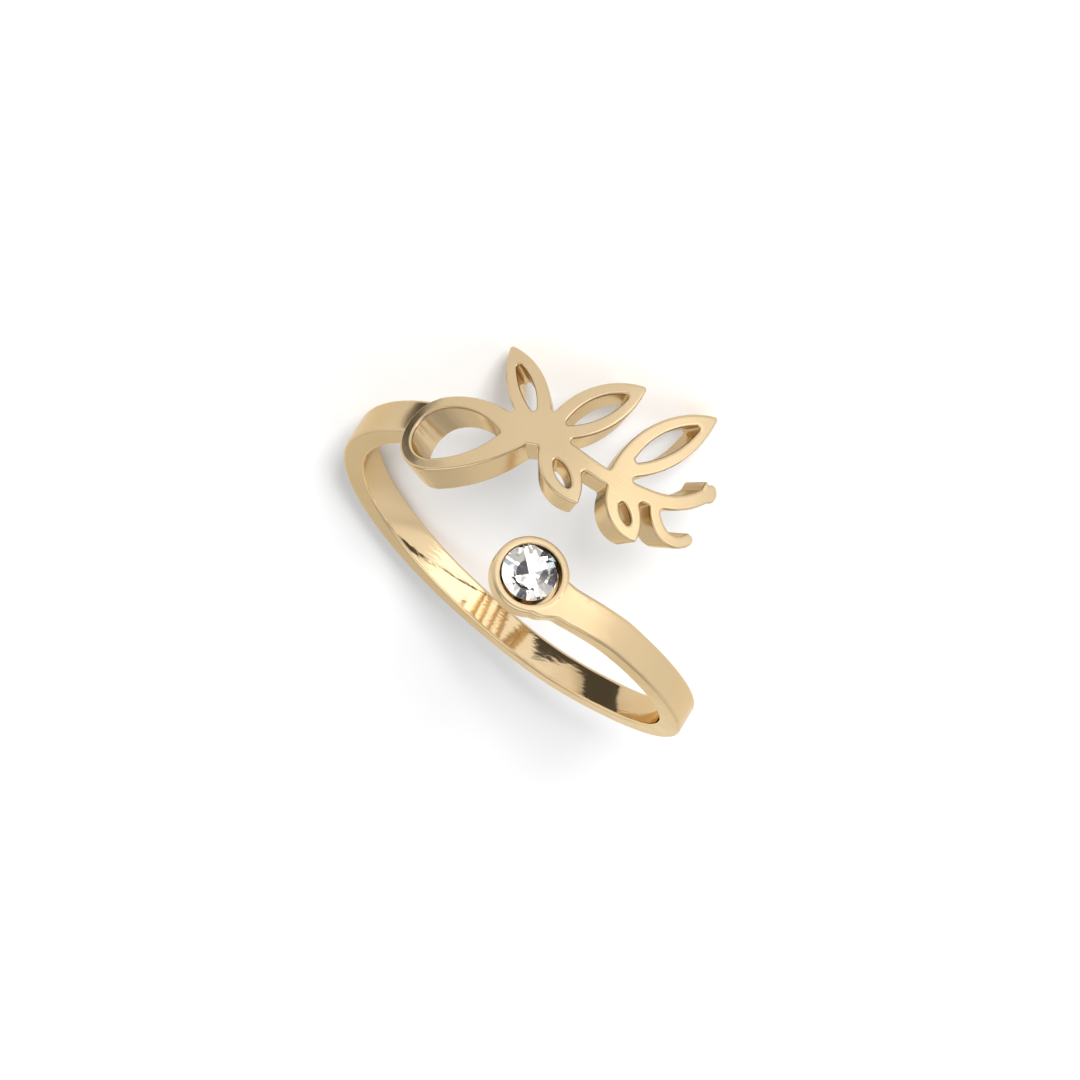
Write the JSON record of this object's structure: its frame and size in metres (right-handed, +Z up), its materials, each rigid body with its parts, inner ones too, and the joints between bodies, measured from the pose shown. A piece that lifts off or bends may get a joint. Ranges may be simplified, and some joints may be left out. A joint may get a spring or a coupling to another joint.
{
  "type": "open finger ring",
  "caption": "Open finger ring: a flat band whose ends pass each other, one pierced as a leafy sprig and the other carrying a small round cup with a faceted stone.",
  "frame": {"origin": "Centre of the bounding box's footprint, on the surface that the ring lies on.", "axes": "+Z points up from the surface, -Y is the front, where the sprig and the cup are, and +X is the side of the sprig's round loop. The finger's axis leans about 18 degrees from +Z."},
  "size_m": [0.018, 0.0207, 0.0116],
  "materials": {
    "metal": "pale gold plating, satin outside and polished inside",
    "stone": "clear faceted stone with a bright back"
  },
  "bodies": {
    "root": {"ring_body": "metal", "stone": "stone"}
  },
  "joints": []
}
